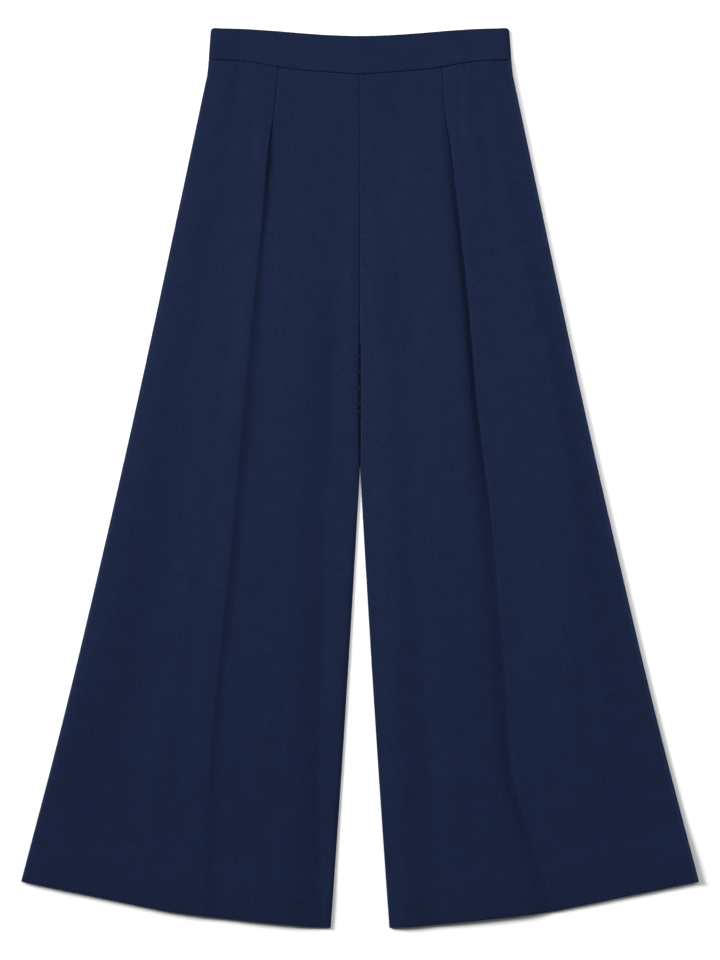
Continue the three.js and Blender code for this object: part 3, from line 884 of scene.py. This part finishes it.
def add_noise(tree, place, size, detail, roughness):
    """Adds flat noise with patches of about this size in millimetres."""
    inputs = {"Vector": place, "Scale": 1 / (size * MM), "Detail": detail, "Roughness": roughness}
    return add_node(tree, "ShaderNodeTexNoise", inputs, noise_dimensions="2D")


def add_scaled(tree, value, factor, offset):
    """Adds a node that multiplies a value by a factor and adds an offset."""
    return add_node(tree, "ShaderNodeMath", {0: value, 1: factor, 2: offset}, operation="MULTIPLY_ADD")


def crepe(settings):
    """Matte polyester crepe. Its twisted threads give a fine pebbly grain with no gloss, only a faint
    bloom where the cloth turns away."""
    name = "matte_navy_crepe"
    if name in bpy.data.materials:
        return bpy.data.materials[name]
    material, tree, surface = new_material(name)
    place = add_node(tree, "ShaderNodeUVMap", uv_map="cloth").outputs["UV"]
    grain = add_noise(tree, place, GRAIN["size"], 2.0, 0.7)
    drift = add_noise(tree, place, GRAIN["drift_size"], 4.0, 0.6)
    mixed = add_scaled(tree, drift.outputs["Fac"], GRAIN["drift_contrast"], GRAIN["offset"])
    shade = add_scaled(tree, grain.outputs["Fac"], GRAIN["contrast"], mixed.outputs[0])
    colour = add_node(
        tree,
        "ShaderNodeMix",
        {"Factor": shade.outputs[0], "A": (*settings.shade_colour, 1), "B": (*settings.cloth_colour, 1)},
        data_type="RGBA",
    )
    tree.links.new(colour.outputs["Result"], surface.inputs["Base Color"])
    relief = {"Height": grain.outputs["Fac"], "Strength": 0.5, "Distance": GRAIN["relief"] * MM}
    bump = add_node(tree, "ShaderNodeBump", relief)
    tree.links.new(bump.outputs["Normal"], surface.inputs["Normal"])
    surface.inputs["Roughness"].default_value = 0.9
    surface.inputs["Specular IOR Level"].default_value = 0.068
    surface.inputs["Sheen Weight"].default_value = 0.045
    surface.inputs["Sheen Roughness"].default_value = 0.5
    surface.inputs["Sheen Tint"].default_value = (*settings.bloom_colour, 1)
    return material


def enamelled_zinc(settings):
    """Zinc alloy under navy enamel, as on the slider of a concealed zip: smooth, with a satin gloss and
    fine wear."""
    material, tree, surface = new_material("enamelled_zinc")
    place = add_node(tree, "ShaderNodeTexCoord").outputs["Object"]
    patches = {"Vector": place, "Scale": 1 / (WEAR["size"] * MM), "Detail": 3.0}
    wear = add_node(tree, "ShaderNodeTexNoise", patches)
    rough = add_scaled(tree, wear.outputs["Fac"], WEAR["rougher"], WEAR["least_rough"])
    tree.links.new(rough.outputs[0], surface.inputs["Roughness"])
    colour = add_node(
        tree,
        "ShaderNodeMix",
        {"Factor": wear.outputs["Fac"], "A": (*settings.enamel_colour, 1), "B": (*settings.wear_colour, 1)},
        data_type="RGBA",
    )
    tree.links.new(colour.outputs["Result"], surface.inputs["Base Color"])
    surface.inputs["Metallic"].default_value = 0.2
    return material


def finish_cloth(settings, made, node):
    piece, area = made
    piece.data.materials.append(crepe(settings))
    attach(piece, BODY)
    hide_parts(node)


def colour_setting(name, description, code):
    """A colour that the user can change, from its sRGB hex code."""
    return bpy.props.FloatVectorProperty(
        name=name, description=description, default=linear(code), subtype="COLOR", min=0, max=1
    )


class TrouserSettings(bpy.types.PropertyGroup):
    """The sizes and colours that a user would change"""

    cloth_thickness: bpy.props.FloatProperty(
        name="Cloth thickness", description="Thickness of the crepe", default=0.5 * MM, unit="LENGTH"
    )
    band_thickness: bpy.props.FloatProperty(
        name="Waistband thickness",
        description="Thickness of the waistband's layers",
        default=BAND_WALL * MM,
        unit="LENGTH",
    )
    cloth_colour: colour_setting("Cloth", "Colour of the raised threads", "16203c")
    shade_colour: colour_setting("Hollows of the cloth", "Colour of the hollows of the grain", "0b1326")
    bloom_colour: colour_setting("Bloom", "Tint of the faint bloom of the cloth", "6f7fb0")
    enamel_colour: colour_setting("Enamel", "Colour of the zip's enamel", "1a2138")
    wear_colour: colour_setting("Worn enamel", "Colour of the zip's enamel where it is worn", "242d49")


class TROUSERS_OT_fronts(bpy.types.Operator):
    """Makes the two pleated fronts"""

    bl_idname = "trousers.fronts"
    bl_label = "Fronts"

    def execute(self, context):
        settings = context.scene.trousers
        for leg, side in SIDES.items():
            made = front(leg, settings.cloth_thickness / MM)
            finish_cloth(settings, made, "front_" + side)
        return {"FINISHED"}


class TROUSERS_OT_backs(bpy.types.Operator):
    """Makes the two backs"""

    bl_idname = "trousers.backs"
    bl_label = "Backs"

    def execute(self, context):
        settings = context.scene.trousers
        for leg, side in SIDES.items():
            finish_cloth(settings, back(leg, settings.cloth_thickness / MM), "back_" + side)
        return {"FINISHED"}


class TROUSERS_OT_waistband(bpy.types.Operator):
    """Makes the front waistband and the two halves of the back waistband"""

    bl_idname = "trousers.waistband"
    bl_label = "Waistband"

    def execute(self, context):
        settings = context.scene.trousers
        thickness = settings.band_thickness / MM
        for leg, side in SIDES.items():
            finish_cloth(settings, back_band(leg, thickness), "waistband_back_" + side)
        finish_cloth(settings, front_band(thickness), "waistband_front")
        return {"FINISHED"}


class TROUSERS_OT_zip(bpy.types.Operator):
    """Finishes the zip's slider and pull"""

    bl_idname = "trousers.zip"
    bl_label = "Zip"

    def execute(self, context):
        metal = enamelled_zinc(context.scene.trousers)
        for node in ("zip_slider", "zip_pull"):
            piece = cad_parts[node]
            piece.data.materials.clear()
            piece.data.materials.append(metal)
        return {"FINISHED"}


class TROUSERS_OT_stage(bpy.types.Operator):
    """Makes the pale floor, the soft lights and the camera"""

    bl_idname = "trousers.stage"
    bl_label = "Stage"

    def execute(self, context):
        make_floor()
        make_lights()
        make_camera()
        return {"FINISHED"}


def make_floor():
    """A floor of matte white paper, just under the garment. It stays plain white, with only a soft shadow
    beside the cloth."""
    mesh = bpy.data.meshes.new("floor")
    bm = bmesh.new()
    bmesh.ops.create_grid(bm, x_segments=1, y_segments=1, size=FLOOR["size"] / 2)
    bmesh.ops.translate(bm, verts=bm.verts, vec=(0, 0, -FLOOR["below"]))
    bm.to_mesh(mesh)
    bm.free()
    floor = bpy.data.objects.new("floor", mesh)
    bpy.context.scene.collection.objects.link(floor)
    material, _, surface = new_material("matte_white_paper")
    surface.inputs["Base Color"].default_value = (FLOOR["white"], FLOOR["white"], FLOOR["white"], 1)
    surface.inputs["Roughness"].default_value = 0.9
    surface.inputs["Specular IOR Level"].default_value = 0.1
    mesh.materials.append(material)


def make_lights():
    """Two wide softboxes far off to the sides, one over the waistband, and a weak white sky."""
    for box in SOFTBOXES:
        light = bpy.data.lights.new(box["name"], "SUN")
        light.angle, light.energy = math.radians(box["width"]), box["strength"]
        lamp = bpy.data.objects.new(box["name"], light)
        lamp.rotation_euler = (math.radians(box["height"] - 90), 0, math.radians(box["turn"]))
        bpy.context.scene.collection.objects.link(lamp)
    light = bpy.data.lights.new("top_softbox", "AREA")
    light.shape, light.energy = "RECTANGLE", TOP_SOFTBOX["power"]
    light.size, light.size_y = TOP_SOFTBOX["size"]
    lamp = bpy.data.objects.new("top_softbox", light)
    lamp.location = TOP_SOFTBOX["place"]
    bpy.context.scene.collection.objects.link(lamp)
    world = bpy.data.worlds.new("studio")
    world.use_nodes = True
    world.node_tree.nodes["Background"].inputs["Color"].default_value = (1, 1, 1, 1)
    world.node_tree.nodes["Background"].inputs["Strength"].default_value = SKY_STRENGTH
    bpy.context.scene.world = world
    bpy.context.scene.view_settings.view_transform = "Standard"


def make_camera():
    """A camera straight above, at the photo's scale."""
    data = bpy.data.cameras.new("camera")
    camera = bpy.data.objects.new("camera", data)
    camera.location = (0, IMAGE_CENTRE_Y, CAMERA_HEIGHT)
    data.lens = data.sensor_width * CAMERA_HEIGHT / (IMAGE_HEIGHT * PIXEL)
    data.clip_end = CAMERA_REACH
    bpy.context.scene.collection.objects.link(camera)
    bpy.context.scene.camera = camera


class TROUSERS_PT_panel(bpy.types.Panel):
    """Lists the settings and the steps"""

    bl_label = "Trousers"
    bl_space_type = "VIEW_3D"
    bl_region_type = "UI"
    bl_category = "Trousers"

    def draw(self, context):
        settings = context.scene.trousers
        for name in TrouserSettings.__annotations__:
            self.layout.prop(settings, name)
        for step in STEPS:
            self.layout.operator(step.bl_idname)


STEPS = (
    TROUSERS_OT_backs,
    TROUSERS_OT_fronts,
    TROUSERS_OT_waistband,
    TROUSERS_OT_zip,
    TROUSERS_OT_stage,
)


def register():
    """Registers the classes and the scene's settings."""
    for kind in (TrouserSettings, *STEPS, TROUSERS_PT_panel):
        bpy.utils.register_class(kind)
    bpy.types.Scene.trousers = bpy.props.PointerProperty(type=TrouserSettings)


def unregister():
    """Takes away what register adds."""
    del bpy.types.Scene.trousers
    for kind in reversed((TrouserSettings, *STEPS, TROUSERS_PT_panel)):
        bpy.utils.unregister_class(kind)


def main():
    """Makes all pieces and the stage."""
    register()
    bpy.ops.trousers.backs()
    bpy.ops.trousers.fronts()
    bpy.ops.trousers.waistband()
    bpy.ops.trousers.zip()
    bpy.ops.trousers.stage()
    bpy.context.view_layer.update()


if __name__ == "__main__":
    main()
